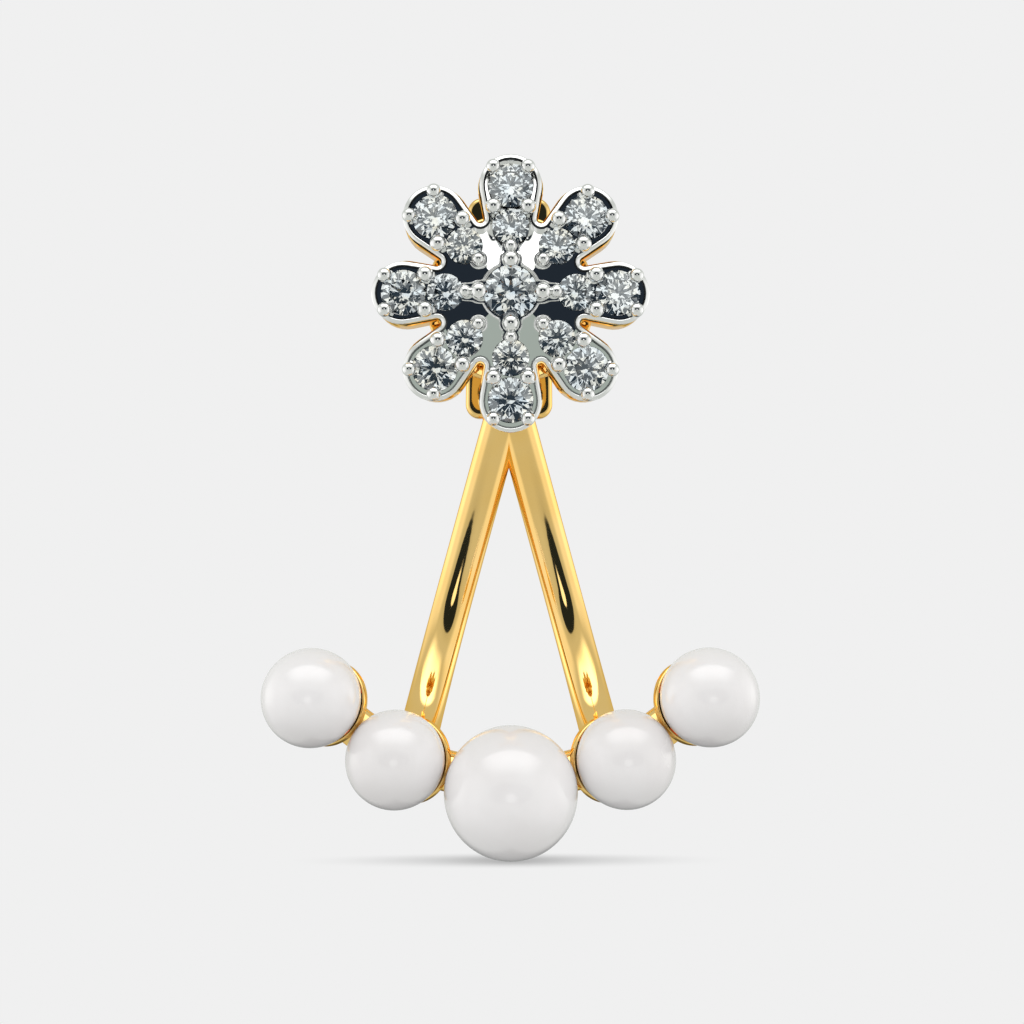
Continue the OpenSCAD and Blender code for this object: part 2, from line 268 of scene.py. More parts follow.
def loft(rings, capped=False):
    """A skin over rings of equally many points: a circle on the first is extruded from ring to ring."""
    count = len(rings[0])
    clear_selection()
    bpy.ops.mesh.primitive_circle_add(vertices=count, radius=1, fill_type="NOTHING")
    piece = bpy.context.object
    set_mode("EDIT")
    mesh = bmesh.from_edit_mesh(piece.data)
    mesh.verts.ensure_lookup_table()
    for vertex, point in zip(mesh.verts, rings[0]):
        vertex.co = point
    place_of = {index: index for index in range(count)}
    for ring in rings[1:]:
        bpy.ops.mesh.extrude_edges_move()
        mesh = bmesh.from_edit_mesh(piece.data)
        mesh.verts.index_update()
        mesh.verts.ensure_lookup_table()
        moved = {}
        for vertex in mesh.verts[-count:]:
            for edge in vertex.link_edges:
                place = place_of.get(edge.other_vert(vertex).index)
                if place is not None:
                    moved[vertex.index] = place
        for index, place in moved.items():
            mesh.verts[index].co = ring[place]
        place_of = moved
    if capped:
        cap(piece, 0, count)
        cap(piece, count * (len(rings) - 1), count)
    bmesh.update_edit_mesh(piece.data)
    set_mode("OBJECT")
    return merge_and_turn_out(piece)


def lathe(profile, sides=64):
    """A shape turned round Z from (radius, height) points. It is closed where they end on the axis."""
    turns = [tau * k / sides for k in range(sides)]
    return loft([[(r * cos(a), r * sin(a), h) for a in turns] for r, h in profile])


def arc(centre, radius, start, end, steps):
    """Points of an arc, by its start and end angle in degrees."""
    turns = [radians(start + (end - start) * k / steps) for k in range(steps + 1)]
    return [(centre[0] + radius * cos(a), centre[1] + radius * sin(a)) for a in turns]


def apply_place():
    bpy.ops.object.transform_apply(location=True, rotation=True, scale=True)


def put(piece, matrix):
    """Moves a piece and applies the move to its mesh."""
    select_only(piece)
    piece.matrix_world = matrix
    apply_place()
    return piece


def copy_of(piece):
    twin = piece.copy()
    twin.data = piece.data.copy()
    bpy.context.scene.collection.objects.link(twin)
    return twin


def remove(piece):
    bpy.data.objects.remove(piece)


def join(pieces):
    select_only(*pieces)
    bpy.ops.object.join()
    return bpy.context.object


def boolean(piece, tool, operation):
    """Joins or cuts a piece with a tool, and removes the tool."""
    select_only(piece)
    bpy.ops.object.modifier_add(type="BOOLEAN")
    modifier = piece.modifiers[-1]
    modifier.operation = operation
    modifier.solver = "EXACT"
    modifier.object = tool
    bpy.ops.object.modifier_apply(modifier=modifier.name)
    remove(tool)


def finish_piece(piece, name, body, node, slot, smooth=35):
    """Cleans a piece, brings it to metres, gives it its shading, finish and body, and hides the CAD part that
    it replaces.
    """
    merge_and_turn_out(piece)
    if smooth:
        bpy.ops.object.shade_smooth_by_angle(angle=radians(smooth))
    else:
        bpy.ops.object.shade_flat()
    put(piece, Matrix.Scale(MM, 4) @ piece.matrix_world)
    piece.name = name
    piece.data.name = name
    piece.data.materials.clear()
    piece.data.materials.append(finish(FINISH_OF_SLOT[slot]))
    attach(piece, body)
    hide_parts(node)


class Wire:
    """A value on its way through a node tree. Python's own signs add the Math nodes."""

    def __init__(self, tree, socket):
        self.tree = tree
        self.socket = socket

    def math(self, operation, *others):
        values = dict(enumerate((self, *others)))
        return self.tree.node("ShaderNodeMath", {"operation": operation}, values)

    def __add__(self, other):
        return self.math("ADD", other)

    def __sub__(self, other):
        return self.math("SUBTRACT", other)

    def __rsub__(self, other):
        return self.math("MULTIPLY_ADD", -1, other)

    def __mul__(self, other):
        return self.math("MULTIPLY", other)

    def __abs__(self):
        return self.math("ABSOLUTE")

    def step(self, low, high):
        """Rises smoothly from 0 at low to 1 at high, or falls where low is the higher one."""
        settings = {"interpolation_type": "SMOOTHSTEP"}
        falling = low > high
        ends = (high, low) if falling else (low, high)
        sockets = {"Value": self, "From Min": ends[0], "From Max": ends[1]}
        rise = self.tree.node("ShaderNodeMapRange", settings, sockets)
        return 1 - rise if falling else rise

    def between(self, low, high):
        """Stretches 0 to 1 out to low to high."""
        return self * (high - low) + low

    def within(self, low, high, edge):
        """Is 1 between low and high and falls to 0 over twice the edge at either end."""
        return self.step(low - edge, low + edge) * self.step(high + edge, high - edge)


class NodeTree:
    """Adds nodes to a material's or the world's tree."""

    def __init__(self, owner):
        owner.use_nodes = True
        self.tree = owner.node_tree
        self.tree.nodes.clear()

    def node(self, kind, settings=None, sockets=None, out=0):
        """Adds one node: its settings first, then the values or links of its sockets. Returns one output."""
        made = self.tree.nodes.new(kind)
        for name, value in (settings or {}).items():
            setattr(made, name, value)
        for key, value in (sockets or {}).items():
            if isinstance(value, Wire):
                self.tree.links.new(value.socket, made.inputs[key])
            else:
                made.inputs[key].default_value = value
        return Wire(self, made.outputs[out]) if made.outputs else None

    def mix(self, factor, first, second):
        """Mixes two colours."""
        settings = {"data_type": "RGBA"}
        sockets = {"Factor": factor, 6: first, 7: second}
        return self.node("ShaderNodeMix", settings, sockets, out=2)

    def place(self):
        """The place on the piece, in metres."""
        return self.node("ShaderNodeTexCoord", out=3)

    def outputs_of(self, wire, numbers):
        """Several outputs of the node that a wire comes from."""
        return [Wire(self, wire.socket.node.outputs[k]) for k in numbers]

    def axes(self, vector):
        """A vector's three parts."""
        return self.outputs_of(self.node("ShaderNodeSeparateXYZ", None, {"Vector": vector}), range(3))

    def noise(self, scale, detail=2.0, vector=None):
        sockets = {"Vector": vector or self.place(), "Scale": scale, "Detail": detail}
        return self.node("ShaderNodeTexNoise", None, sockets)

    def bump(self, height, strength):
        sockets = {"Height": height, "Strength": strength, "Distance": BUMP_DEPTH}
        return self.node("ShaderNodeBump", None, sockets)

    def surface(self, shader):
        self.node("ShaderNodeOutputMaterial", None, {"Surface": shader})


def rgba(value):
    return (*value, 1.0)


def finish(recipe):
    """A finish's material, made from its recipe the first time that it is asked for."""
    name = recipe.__name__
    material = bpy.data.materials.get(name)
    if not material:
        material = bpy.data.materials.new(name)
        tree = NodeTree(material)
        tree.surface(tree.node("ShaderNodeBsdfPrincipled", None, recipe(tree)))
    return material


# Patterns of the finishes, in waves to the metre, and the depth of their bumps in metres
POLISH_CLOUD = 420.0
POLISH_WAVE = 900.0
RECESS_CLOUD = 500.0
GOLD_CLOUD = 300.0
GOLD_GRAIN = 2600.0
GOLD_WAVE = 700.0
PAINTED_GLINT_CLOUD = 1500.0
NACRE_CLOUD = 260.0
NACRE_LINES = 1400.0
BUMP_DEPTH = 0.0001
POLISH_BUMP = 0.02
GOLD_BUMP = 0.05
NACRE_BUMP = 0.03
# Smoothest and dullest roughness of each finish
MIRROR_ROUGHNESS = (0.018, 0.026)
RECESS_ROUGHNESS = (0.25, 0.35)
GOLD_ROUGHNESS = (0.01, 0.07)
GRAIN_ROUGHNESS = 0.03
NACRE_ROUGHNESS = (0.22, 0.3)
RHODIUM_SHADE = 0.96
FLOOR_SHADE = 0.97


def plated(tree, shade):
    """The colour of rhodium, and its cloud, by which it darkens to a shade and gets duller."""
    tint = group_of("finishes").rhodium
    cloud = tree.noise(POLISH_CLOUD)
    return {
        "Base Color": tree.mix(cloud, rgba(tint), rgba([x * shade for x in tint])),
        "Metallic": 1.0,
        "Roughness": cloud.between(*MIRROR_ROUGHNESS),
    }


def rhodium_mirror(tree):
    """Rhodium plating over white gold: a mirror with the faint waves and haze of hand polishing."""
    return {**plated(tree, RHODIUM_SHADE), "Normal": tree.bump(tree.noise(POLISH_WAVE), POLISH_BUMP)}


# Where the floor's parts look: the top part up, the bottom part down, those at the sides outward
FLOOR_UP = 0.6
FLOOR_DOWN = 0.335
FLOOR_ASIDE = 0.2035
FLOOR_ASIDE_DOWN = 0.033
# The parts by bearing from the top, in degrees. Within a distance in metres they are half a petal wider
HALF_PETAL = degrees(PETAL_TURN) / 2
BOTTOM_FROM = 5 * HALF_PETAL
FLOOR_SPLIT = 0.003


def groove_discs():
    """The floor inside the ridges, as discs: place along the nearest main petal and beside it, and radius."""
    flower = flower_sizes()
    corner = ROOT_BEAD[0] / sqrt(2)
    discs = ((0, 0, flower.boss_r), (CENTRE_BEAD[0], 0, flower.foot_r),
             (ROOT_BEAD[0], 0, flower.root_r), (corner, corner, flower.root_r))
    return [(along, beside, radius - RIDGE_W / 2) for along, beside, radius in discs]


def mirror_floor(tree):
    """The flower's mirror floor, polished part by part, so that each part shows one even tone."""
    x, _, z = tree.axes(tree.place())
    inside = (x * x + z * z).math("LESS_THAN", FLOOR_SPLIT ** 2)
    bearing = abs(x).math("ARCTAN2", z).math("DEGREES") - inside * HALF_PETAL
    top = bearing.math("LESS_THAN", HALF_PETAL)
    bottom = bearing.math("GREATER_THAN", BOTTOM_FROM)
    side = 1 - (top + bottom)
    wide, narrow = (abs(x).math(choice, abs(z)) for choice in ("MAXIMUM", "MINIMUM"))
    for at_wide, at_narrow, radius in groove_discs():
        off_wide, off_narrow = wide - at_wide * MM, narrow - at_narrow * MM
        groove = (off_wide * off_wide + off_narrow * off_narrow).math("LESS_THAN", (radius * MM) ** 2)
        side = side.math("MAXIMUM", groove)
    aside = side * x.math("SIGN") * FLOOR_ASIDE
    upward = (1 - side) * (top * FLOOR_UP - bottom * FLOOR_DOWN) - side * FLOOR_ASIDE_DOWN
    lean = tree.node("ShaderNodeCombineXYZ", None, {"X": aside, "Y": -1.0, "Z": upward})
    settings = {"vector_type": "NORMAL", "convert_from": "OBJECT", "convert_to": "WORLD"}
    lean = tree.node("ShaderNodeVectorTransform", settings, {"Vector": lean})
    lean = tree.node("ShaderNodeVectorMath", {"operation": "NORMALIZE"}, {"Vector": lean})
    return {**plated(tree, FLOOR_SHADE), "Normal": lean}


# The recess's painted shade fades from dark to light between two heights, in metres
RECESS_SHADE_FADE = (-0.0005, -0.003)
RECESS_SHADE_DARK = (0.03, 0.033, 0.038)
RECESS_SHADE_GREY = (0.07, 0.075, 0.08)
RECESS_SHADE_LIGHT = (0.3, 0.32, 0.31)


def recess_painted_shade(tree):
    """The narrow groove inside the rim, coloured dark as painted shade, which is left less dark low on the
    flower and is darkest towards the top petal.
    """
    cloud = tree.noise(RECESS_CLOUD)
    height = tree.axes(tree.place())[2]
    dark = tree.mix(cloud, rgba(RECESS_SHADE_DARK), rgba(RECESS_SHADE_GREY))
    return {
        "Base Color": tree.mix(height.step(*RECESS_SHADE_FADE), dark, rgba(RECESS_SHADE_LIGHT)),
        "Metallic": 1.0,
        "Roughness": cloud.between(*RECESS_ROUGHNESS),
    }


# The gold keeps its colour where it is seen along its surface
GOLD_EDGE = (1.0, 0.74, 0.36)
DEEP_FROM = (0.35, 0.75)


def polished_gold(tree):
    """Eighteen carat yellow gold: a warm mirror, a little deeper and softer in places."""
    colours = group_of("finishes")
    cloud = tree.noise(GOLD_CLOUD)
    grain = tree.noise(GOLD_GRAIN, detail=4.0) * GRAIN_ROUGHNESS
    return {
        "Base Color": tree.mix(cloud.step(*DEEP_FROM), rgba(colours.gold), rgba(colours.deep_gold)),
        "Metallic": 1.0,
        "Roughness": cloud.between(*GOLD_ROUGHNESS) + grain,
        "Specular Tint": rgba(GOLD_EDGE),
        "Normal": tree.bump(tree.noise(GOLD_WAVE), GOLD_BUMP),
    }


# Warm and cool tints in the stone's colour are painted glints, standing in for dispersion
PAINTED_GLINT_WARM = (1.0, 0.93, 0.8)
PAINTED_GLINT_COOL = (0.86, 0.93, 1.0)
WARM_FROM = (0.56, 0.66)
COOL_FROM = (0.44, 0.34)
DIAMOND_IOR = 2.417


def diamond_clear(tree):
    """Clear stone of diamond's refraction, with painted glints: warm and cool patches in its colour stand in
    for the coloured flashes of dispersion.
    """
    painted_glints = tree.noise(PAINTED_GLINT_CLOUD, detail=0.0)
    warm = tree.mix(painted_glints.step(*WARM_FROM), rgba(group_of("finishes").stone), rgba(PAINTED_GLINT_WARM))
    return {
        "Base Color": tree.mix(painted_glints.step(*COOL_FROM), warm, rgba(PAINTED_GLINT_COOL)),
        "Roughness": 0.0,
        "IOR": DIAMOND_IOR,
        "Transmission Weight": 1.0,
    }


# The rose overtone lies in a pearl's clouds; at its edge the same darker tint is painted shade, which darkens
# the silhouette. The skin is a thin coat
EDGE_SHADE_BLEND = 0.35
ROSE_FROM = (0.35, 0.7)
ROSE_AND_EDGE_SHADE_SHARE = 0.5
SKIN = (0.8, 0.9)
SKIN_ROUGHNESS = 0.03
SKIN_IOR = 1.5


def pearl_nacre(tree):
    """White nacre: a soft body under a thin clear skin, with a faint rose overtone, painted shade at its edge
    and fine growth lines.
    """
    colours = group_of("finishes")
    cloud = tree.noise(NACRE_CLOUD, detail=3.0)
    # The edge term darkens the base colour toward the rose tint at the silhouette: painted shade
    edge = tree.node("ShaderNodeLayerWeight", None, {"Blend": EDGE_SHADE_BLEND}, out=1)
    overtone = (cloud.step(*ROSE_FROM) + edge) * ROSE_AND_EDGE_SHADE_SHARE
    return {
        "Base Color": tree.mix(overtone, rgba(colours.nacre), rgba(colours.rose_and_edge_shade)),
        "Roughness": cloud.between(*NACRE_ROUGHNESS),
        "Coat Weight": cloud.between(*SKIN),
        "Coat Roughness": SKIN_ROUGHNESS,
        "Coat IOR": SKIN_IOR,
        "Normal": tree.bump(tree.noise(NACRE_LINES, detail=3.0), NACRE_BUMP),
    }


FINISH_OF_SLOT = {
    WHITE: rhodium_mirror,
    YELLOW: polished_gold,
    "brilliant": diamond_clear,
    "pearl": pearl_nacre,
}


def flower_sizes():
    return sizes_of("flower")


def on_dome(x, z, height):
    """A point of the flower, at a height over its slightly domed floor."""
    flower = flower_sizes()
    rise = (x * x + z * z) / (2 * flower.dome_r) - flower.dome_rise
    return Vector((x, flower.floor_y - height + rise, z))


def depth_at(point):
    """X, Z and the depth behind the floor of a point of a finished piece, in millimetres."""
    x, y, z = point / MM
    return x, z, y - on_dome(x, z, 0).y


def dome_seat(x, z):
    """Where a thing stands on the floor at X and Z: its own +Z looks out of the floor."""
    dome_r = flower_sizes().dome_r
    out = Vector((x / dome_r, -1, z / dome_r)).normalized()
    along = (Vector((1, 0, 0)) - out * out.x).normalized()
    turned = Matrix((along, out.cross(along), out)).transposed().to_4x4()
    return Matrix.Translation(on_dome(x, z, 0)) @ turned


def petal_place(petal, out, side=0.0):
    """X and Z of a point, given along a petal's line and to the side of it. Petal 0 is on top."""
    turn = pi / 2 - petal * PETAL_TURN
    across = turn - pi / 2
    return out * cos(turn) + side * cos(across), out * sin(turn) + side * sin(across)


# Steps of the outline along a tip, a notch and the side between them
TIP_STEPS = 20
NOTCH_STEPS = 8
SIDE_STEPS = 3


def flower_outline(tip_at, tip_r, notch_at, notch_r):
    """The flower's outline in X and Z: eight round tips joined by straight sides and small hollow arcs."""
    tip = Vector((tip_at, 0))
    notch = Vector((notch_at * cos(PETAL_TURN / 2), notch_at * sin(PETAL_TURN / 2)))
    reach = notch - tip
    side = degrees(atan2(reach.y, reach.x) - acos((tip_r + notch_r) / reach.length))
    tip_arc = arc(tip, tip_r, -side, side, TIP_STEPS)
    notch_arc = arc(notch, notch_r, side - 180, degrees(PETAL_TURN) - side - 180, NOTCH_STEPS)
    next_tip = Matrix.Rotation(PETAL_TURN, 2) @ Vector(tip_arc[0])

    def side_points(start, end):
        return [Vector(start).lerp(Vector(end), k / SIDE_STEPS) for k in range(1, SIDE_STEPS)]

    points = [*map(Vector, tip_arc), *side_points(tip_arc[-1], notch_arc[0])]
    points += [*map(Vector, notch_arc), *side_points(notch_arc[-1], next_tip)]
    return [Matrix.Rotation(petal * PETAL_TURN, 2) @ point for petal in range(PETALS) for point in points]


def inset_outline(inset):
    flower = flower_sizes()
    return flower_outline(flower.tip_at, flower.tip_r - inset, flower.notch_at, flower.notch_r + inset)


# The rim's section as inset and height, in shares of its width and height, from the outer edge inward
RIM_SECTION = (
    (0.0, 0.2), (0.02, 0.36), (0.07, 0.46), (0.3, 0.66), (0.55, 0.83),
    (0.74, 0.96), (0.84, 1.0), (0.93, 0.92), (0.98, 0.6), (1.0, 0.2), (1.03, 0.0),
    (1.06, -0.15), (1.33, -0.15), (1.36, 0.0),
)
FLOOR_RINGS = 22
BACK_RINGS = 4


def dome_ring(outline, height):
    return [on_dome(*point, height) for point in outline]


def disc_rings(outline, height, steps):
    """Rings from the middle of the flower outward, the last one a step inside an outline."""
    return [dome_ring([point * k / steps for point in outline], height) for k in range(steps)]


def white_face_blank():
    """The white layer before its seats are cut: the domed mirror floor inside its rounded rim."""
    flower = flower_sizes()
    outer = inset_outline(0)
    rings = disc_rings(outer, -flower.white_t, BACK_RINGS) + [dome_ring(outer, -flower.white_t)]
    rings += [dome_ring(inset_outline(inset * flower.rim_w), height * flower.rim_h)
              for inset, height in RIM_SECTION]
    inner = inset_outline(RIM_SECTION[-1][0] * flower.rim_w)
    return loft(rings + disc_rings(inner, 0, FLOOR_RINGS)[::-1])


# The seats: how far their cutters stand out, and how many sides they have
SEAT_OPEN = 0.5
SEAT_SIDES = 48
# The small hole behind a stone's point: its share of the seat's radius, and its depth
AZURE_SHARE = 0.3
AZURE_DEPTH = 1.75
# The girdles stand this far over the floor
GIRDLE_LIFT = 0.04


def seat_cutter(diameter):
    """The space that a stone takes, open in front, with the small hole behind its point."""
    stones = group_of("stones")
    radius = diameter / 2 + sizes_of("stones").seat_gap
    azure = AZURE_SHARE * radius
    point = stones.girdle * radius + (radius - azure) * tan(stones.pavilion)
    foot = GIRDLE_LIFT - stones.girdle * radius
    profile = [
        (0, SEAT_OPEN), (radius, SEAT_OPEN), (radius, foot), (azure, GIRDLE_LIFT - point),
        (azure, -AZURE_DEPTH), (0, -AZURE_DEPTH),
    ]
    return lathe(profile, SEAT_SIDES)


def stone_places():
    """Name, diameter, X and Z of every stone: the centre one, the outer ones and the inner ones."""
    stones = sizes_of("stones")
    places = [("centre", stones.centre_d, 0.0, 0.0)]
    rows = (("outer", stones.outer_d, stones.outer_at), ("inner", stones.inner_d, stones.inner_at))
    for row, diameter, out in rows:
        places += [(f"{row}_{petal + 1}", diameter, *petal_place(petal, out)) for petal in range(PETALS)]
    return places


def cut_seats(piece):
    """Cuts the seats of all the stones, the outer ones apart from the inner ones, which they touch."""
    places = stone_places()
    for group in (places[:1] + places[1:1 + PETALS], places[1 + PETALS:]):
        cutters = [put(seat_cutter(d), dome_seat(x, z)) for _, d, x, z in group]
        boolean(piece, join(cutters), "DIFFERENCE")
    return piece


# A face this near to the floor belongs to it, and one down to this depth to the recess
FLOOR_TOLERANCE = 0.008
RECESS_DEPTH = 0.03


class EARRING_OT_flower_face(bpy.types.Operator):
    """Builds the flower's white mirror face inside its raised rim, with the narrow groove beside the rim"""

    bl_idname = "earring.flower_face"
    bl_label = "Flower face"

    def execute(self, context):
        face = cut_seats(white_face_blank())
        finish_piece(face, "flower_face", STUD, FLOWER_NODE, WHITE, smooth=30)
        face.data.materials.append(finish(mirror_floor))
        face.data.materials.append(finish(recess_painted_shade))
        for polygon in face.data.polygons:
            depth = depth_at(polygon.center)[2]
            if abs(depth) < FLOOR_TOLERANCE:
                polygon.material_index = 1
            elif 0 < depth < RECESS_DEPTH:
                # The groove's faces get the recess finish, whose dark colour is painted shade
                polygon.material_index = 2
        return {"FINISHED"}


# Depth behind the floor down to which the seats are plated white
SEAT_PLATED = 1.0
# The gold body starts within the white layer, by this share of the layer's thickness
GOLD_FRONT = 0.75
GOLD_BEVEL = 0.05
FRONT_INSET = 0.03
BEVEL_TURNS = (0.0, 0.5, 1.0, pi / 2)
# Its tips lie this much nearer to the middle than the white ones, and its notches have this radius
TIP_BACK = 0.13
GOLD_NOTCH = 0.12


class EARRING_OT_flower_back(bpy.types.Operator):
    """Builds the yellow gold body behind the white face, whose wall shows as a thin line beside the petals"""

    bl_idname = "earring.flower_back"
    bl_label = "Flower back"

    def execute(self, context):
        flower = flower_sizes()
        front = -flower.white_t * GOLD_FRONT
        back = flower.floor_y - flower.back_y
        tip_at = flower.tip_at - TIP_BACK

        def outline(inset):
            tip_r = flower.tip_r + flower.wall_out - inset
            return flower_outline(tip_at, tip_r, flower.notch_at, GOLD_NOTCH + inset)

        section = [(FRONT_INSET, front), (0.0, front - GOLD_BEVEL)]
        section += [(GOLD_BEVEL * (1 - cos(a)), back + GOLD_BEVEL * (1 - sin(a))) for a in BEVEL_TURNS]
        rings = disc_rings(outline(section[0][0]), front, BACK_RINGS)
        rings += [dome_ring(outline(inset), height) for inset, height in section]
        rings += disc_rings(outline(section[-1][0]), back, BACK_RINGS)[::-1]
        body = cut_seats(loft(rings))
        finish_piece(body, "flower_back", STUD, FLOWER_NODE, YELLOW, smooth=30)
        body.data.materials.append(finish(rhodium_mirror))
        stones = stone_places()
        for polygon in body.data.polygons:
            x, z, depth = depth_at(polygon.center)
            if depth < SEAT_PLATED and any(hypot(x - a, z - b) < d / 2 for _, d, a, b in stones):
                polygon.material_index = 1
        return {"FINISHED"}


# Beads: distance from the middle, offset to the side and radius
TIP_BEAD = (5.04, 0.69, 0.295)
NECK_BEAD = (3.41, 0.69, 0.33)
ROOT_BEAD = (1.82, 0.0, 0.26)
CENTRE_BEAD = (1.27, 0.0, 0.36)
# A bead's head stands on the floor's height plus this, and starts at an angle below its own middle
BEAD_LIFT = 0.2
BEAD_START = -36
BEAD_SIDES = 28
HEAD_STEPS = 12


def bead_places():
    """X, Z and radius of every prong bead."""
    places = []
    for petal in range(PETALS):
        for out, side, radius in (TIP_BEAD, NECK_BEAD):
            places += [(*petal_place(petal, out, s * side), radius) for s in (-1, 1)]
        places.append((*petal_place(petal, ROOT_BEAD[0]), ROOT_BEAD[2]))
        if petal % 2 == 0:
            places.append((*petal_place(petal, CENTRE_BEAD[0]), CENTRE_BEAD[2]))
    return places


# Height of the hidden feet of beads and ridges, which reach into the floor
FOOT = -0.1
RIDGE_W = 0.09
RIDGE_EDGE = 0.035
RIDGE_SIDES = 256
EDGE_STEPS = 4


def ridge_section(height):
    """A ridge's closed section as inset and height."""
    section = [(0, FOOT)]
    section += arc((RIDGE_EDGE, height - RIDGE_EDGE), RIDGE_EDGE, 180, 90, EDGE_STEPS)
    section += arc((RIDGE_W - RIDGE_EDGE, height - RIDGE_EDGE), RIDGE_EDGE, 90, 0, EDGE_STEPS)
    return section + [(RIDGE_W, FOOT), (0, FOOT)]


def wavy_reach(turn, discs):
    """How far the union of discs along the four main petals reaches from the middle in one direction."""
    off_axis = (turn + PETAL_TURN) % (2 * PETAL_TURN) - PETAL_TURN
    reach = 0
    for at, radius in discs:
        beside = radius ** 2 - (at * sin(off_axis)) ** 2
        if beside > 0:
            reach = max(reach, at * cos(off_axis) + sqrt(beside))
    return reach


class EARRING_OT_ridges(bpy.types.Operator):
    """Builds the wavy ridge round the centre stone and its beads, and the rings round four more beads"""

    bl_idname = "earring.ridges"
    bl_label = "Ridges"

    def execute(self, context):
        flower = flower_sizes()
        section = ridge_section(flower.rim_h)
        discs = ((0, flower.boss_r), (CENTRE_BEAD[0], flower.foot_r), (ROOT_BEAD[0], flower.root_r))
        turns = [tau * k / RIDGE_SIDES for k in range(RIDGE_SIDES)]
        sharp = [wavy_reach(turn, discs) for turn in turns]
        reaches = [(sharp[k - 1] + 2 * sharp[k] + sharp[(k + 1) % RIDGE_SIDES]) / 4
                   for k in range(RIDGE_SIDES)]
        wavy = [
            [on_dome((reach - inset) * cos(turn), (reach - inset) * sin(turn), height)
             for reach, turn in zip(reaches, turns)]
            for inset, height in section
        ]
        ring = lathe([(flower.root_r - inset, height) for inset, height in section])
        parts = [loft(wavy)]
        for petal in range(1, PETALS, 2):
            x, z = petal_place(petal, ROOT_BEAD[0])
            parts.append(put(copy_of(ring), dome_seat(x, z)))
        remove(ring)
        ridges = cut_seats(join(parts))
        finish_piece(ridges, "setting_ridges", STUD, FLOWER_NODE, WHITE, smooth=40)
        return {"FINISHED"}


class EARRING_OT_beads(bpy.types.Operator):
    """Builds the round-headed prongs that hold the stones, from one bead that is copied"""

    bl_idname = "earring.beads"
    bl_label = "Prong beads"

    def execute(self, context):
        models = {}
        beads = []
        for x, z, radius in bead_places():
            if radius not in models:
                head = arc((0, BEAD_LIFT), radius, BEAD_START, 90, HEAD_STEPS)
                models[radius] = lathe([(0, FOOT), (head[0][0], FOOT), *head], BEAD_SIDES)
            beads.append(put(copy_of(models[radius]), dome_seat(x, z)))
        for model in models.values():
            remove(model)
        finish_piece(join(beads), "prong_beads", STUD, FLOWER_NODE, WHITE, smooth=50)
        return {"FINISHED"}


FACETS = 8
GIRDLE_SIDES = 96
# The blank reaches past the pavilion's point by this share
BLANK_DEPTH = 1.2
CUT_THRESHOLD = 0.00001


def cut_facets(height, slope, offset, count, start):
    """Cuts facets all round: each passes through (offset, height) and slopes outward from the axis."""
    for k in range(count):
        turn = start + tau * k / count
        lean = sin(abs(slope))
        normal = Vector((lean * cos(turn), lean * sin(turn), copysign(cos(slope), slope)))
        point = (offset * cos(turn), offset * sin(turn), height)
        select_all()
        bpy.ops.mesh.bisect(
            plane_co=point, plane_no=normal, use_fill=True, clear_outer=True, threshold=CUT_THRESHOLD
        )


def brilliant_blank():
    """A round brilliant of radius 1 with its girdle's top at height 0, cut facet by facet from a cylinder."""
    stones = group_of("stones")
    crown_h = (1 - stones.table) * tan(stones.crown)
    half_turn = pi / FACETS
    quarter_turn = half_turn / 2
    girdle_point = cos(quarter_turn)
    table_flat = stones.table * cos(half_turn)
    deep = stones.girdle + BLANK_DEPTH * tan(stones.pavilion)
    clear_selection()
    bpy.ops.mesh.primitive_cylinder_add(
        vertices=GIRDLE_SIDES, radius=1, depth=crown_h + deep, location=(0, 0, (crown_h - deep) / 2)
    )
    stone = bpy.context.object
    apply_place()
    set_mode("EDIT")
    cut_facets(0, stones.crown, 1, FACETS, 0)
    cut_facets(crown_h, stones.star, table_flat, FACETS, half_turn)
    cut_facets(0, stones.upper, girdle_point, 2 * FACETS, quarter_turn)
    cut_facets(-stones.girdle, -stones.pavilion, 1, FACETS, 0)
    cut_facets(-stones.girdle, -stones.lower, girdle_point, 2 * FACETS, quarter_turn)
    set_mode("OBJECT")
    return stone


# Each stone is turned on from the one before, in radians
STONE_SPIN = 0.37


class EARRING_OT_brilliants(bpy.types.Operator):
    """Cuts one round brilliant and sets a copy of it in each of the seventeen seats"""

    bl_idname = "earring.brilliants"
    bl_label = "Brilliants"

    def execute(self, context):
        blank = brilliant_blank()
        lift = Matrix.Translation((0, 0, GIRDLE_LIFT))
        for order, (name, diameter, x, z) in enumerate(stone_places()):
            seat = dome_seat(x, z) @ lift @ Matrix.Rotation(STONE_SPIN * order, 4, "Z")
            stone = put(copy_of(blank), seat @ Matrix.Scale(diameter / 2, 4))
            kind, _, index = name.partition("_")
            node = f"{kind}_stone_{index}" if index else f"{kind}_stone"
            finish_piece(stone, f"{name}_brilliant", STUD, node, "brilliant", smooth=0)
        remove(blank)
        return {"FINISHED"}


# Turns a shape made along Z so that it looks back along Y
BACKWARD = Matrix.Rotation(-pi / 2, 4, "X")
FINE_SIDES = 96
GALLERY_EDGE = 0.12
# The struts: radius, the waist's share of it, distance from the middle and number of sides
STRUT_R = 0.3
STRUT_WAIST = 0.8
STRUT_AT = 3.2
STRUT_SIDES = 32
CROSS_BAR_W = 1.0
# The bar is thinner than the ring by this, so that their faces don't coincide
BAR_STEP = 0.02
# Pieces of one casting reach into each other by this
LAP = 0.1


def rounded_ring(inner, outer, low, high, edge):
    """The closed section of a ring with rounded edges, as (radius, height) points."""
    section = []
    for r, h, start in ((outer - edge, high - edge, 0), (inner + edge, high - edge, 90),
                        (inner + edge, low + edge, 180), (outer - edge, low + edge, 270)):
        section += arc((r, h), edge, start, start + 90, EDGE_STEPS)
    return section + section[:1]


